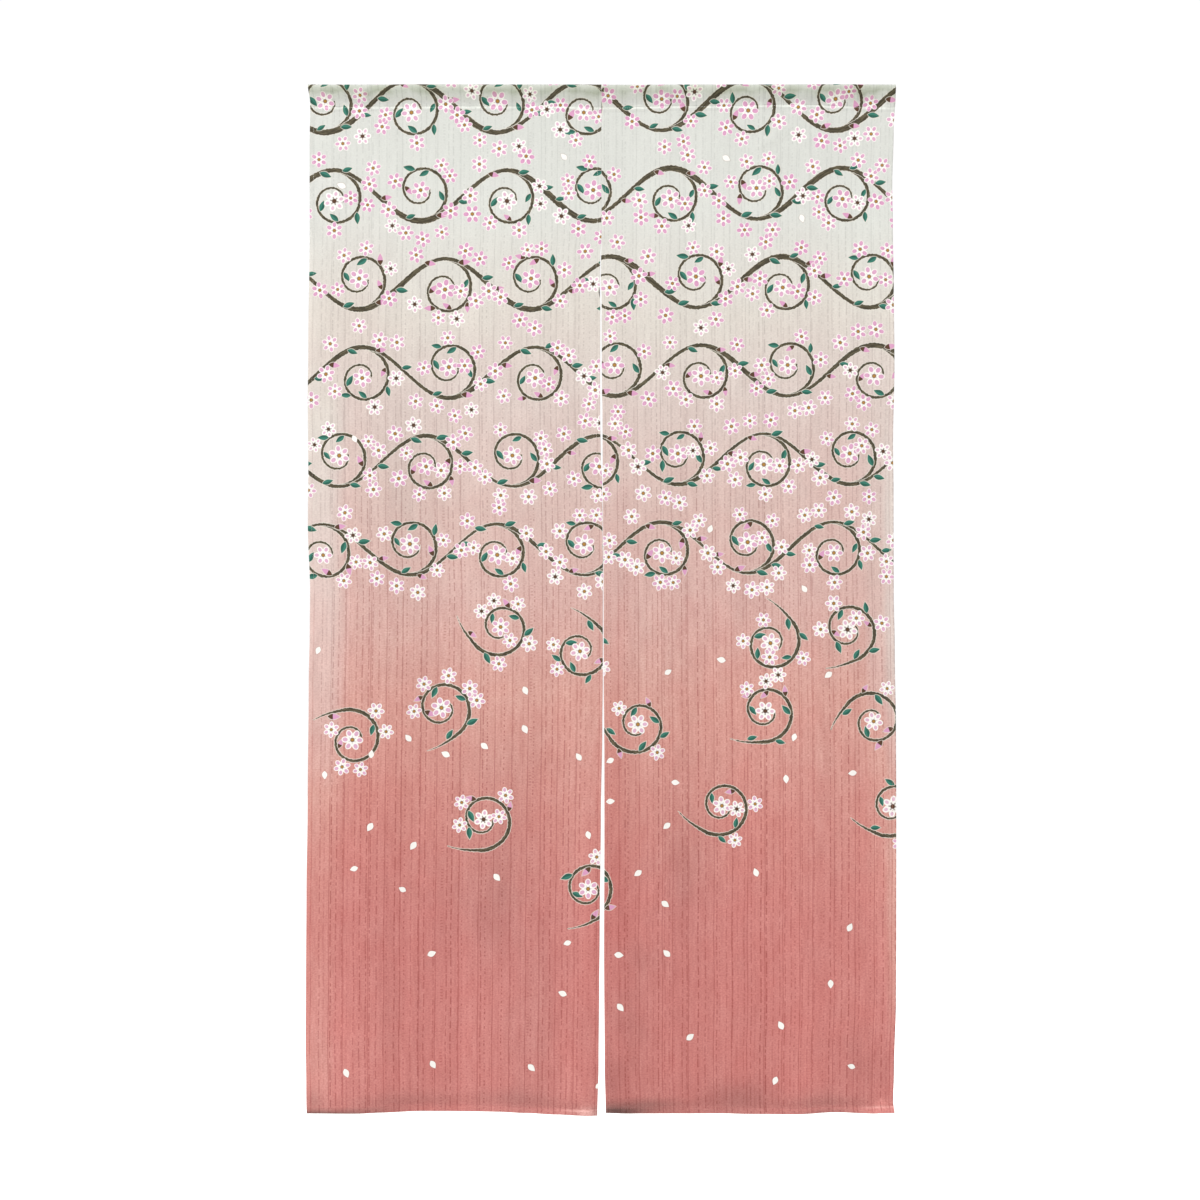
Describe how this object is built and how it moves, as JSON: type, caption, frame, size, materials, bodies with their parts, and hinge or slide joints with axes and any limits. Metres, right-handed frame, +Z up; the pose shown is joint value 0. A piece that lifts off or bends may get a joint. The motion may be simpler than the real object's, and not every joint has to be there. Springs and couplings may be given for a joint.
{
  "type": "noren curtain",
  "caption": "Split doorway curtain: cloth lengths joined at the top, hanging free below, with an open rod pocket.",
  "frame": {"origin": "middle of the top edge, where a rod would carry the curtain", "axes": "+Z up; the curtain's front faces -Y; +X to the right as its front is looked at"},
  "size_m": [0.8607, 0.014, 1.5024],
  "materials": {
    "heading_cloth": "woven slub polyester, pale grey green, printed, doubled at the rod pocket",
    "panel_cloth": "woven slub polyester, graded from pale grey green through peach to rose, printed"
  },
  "bodies": {
    "root": {"heading_left": "heading_cloth", "heading_right": "heading_cloth", "panel_left": "panel_cloth", "panel_right": "panel_cloth"}
  },
  "joints": []
}
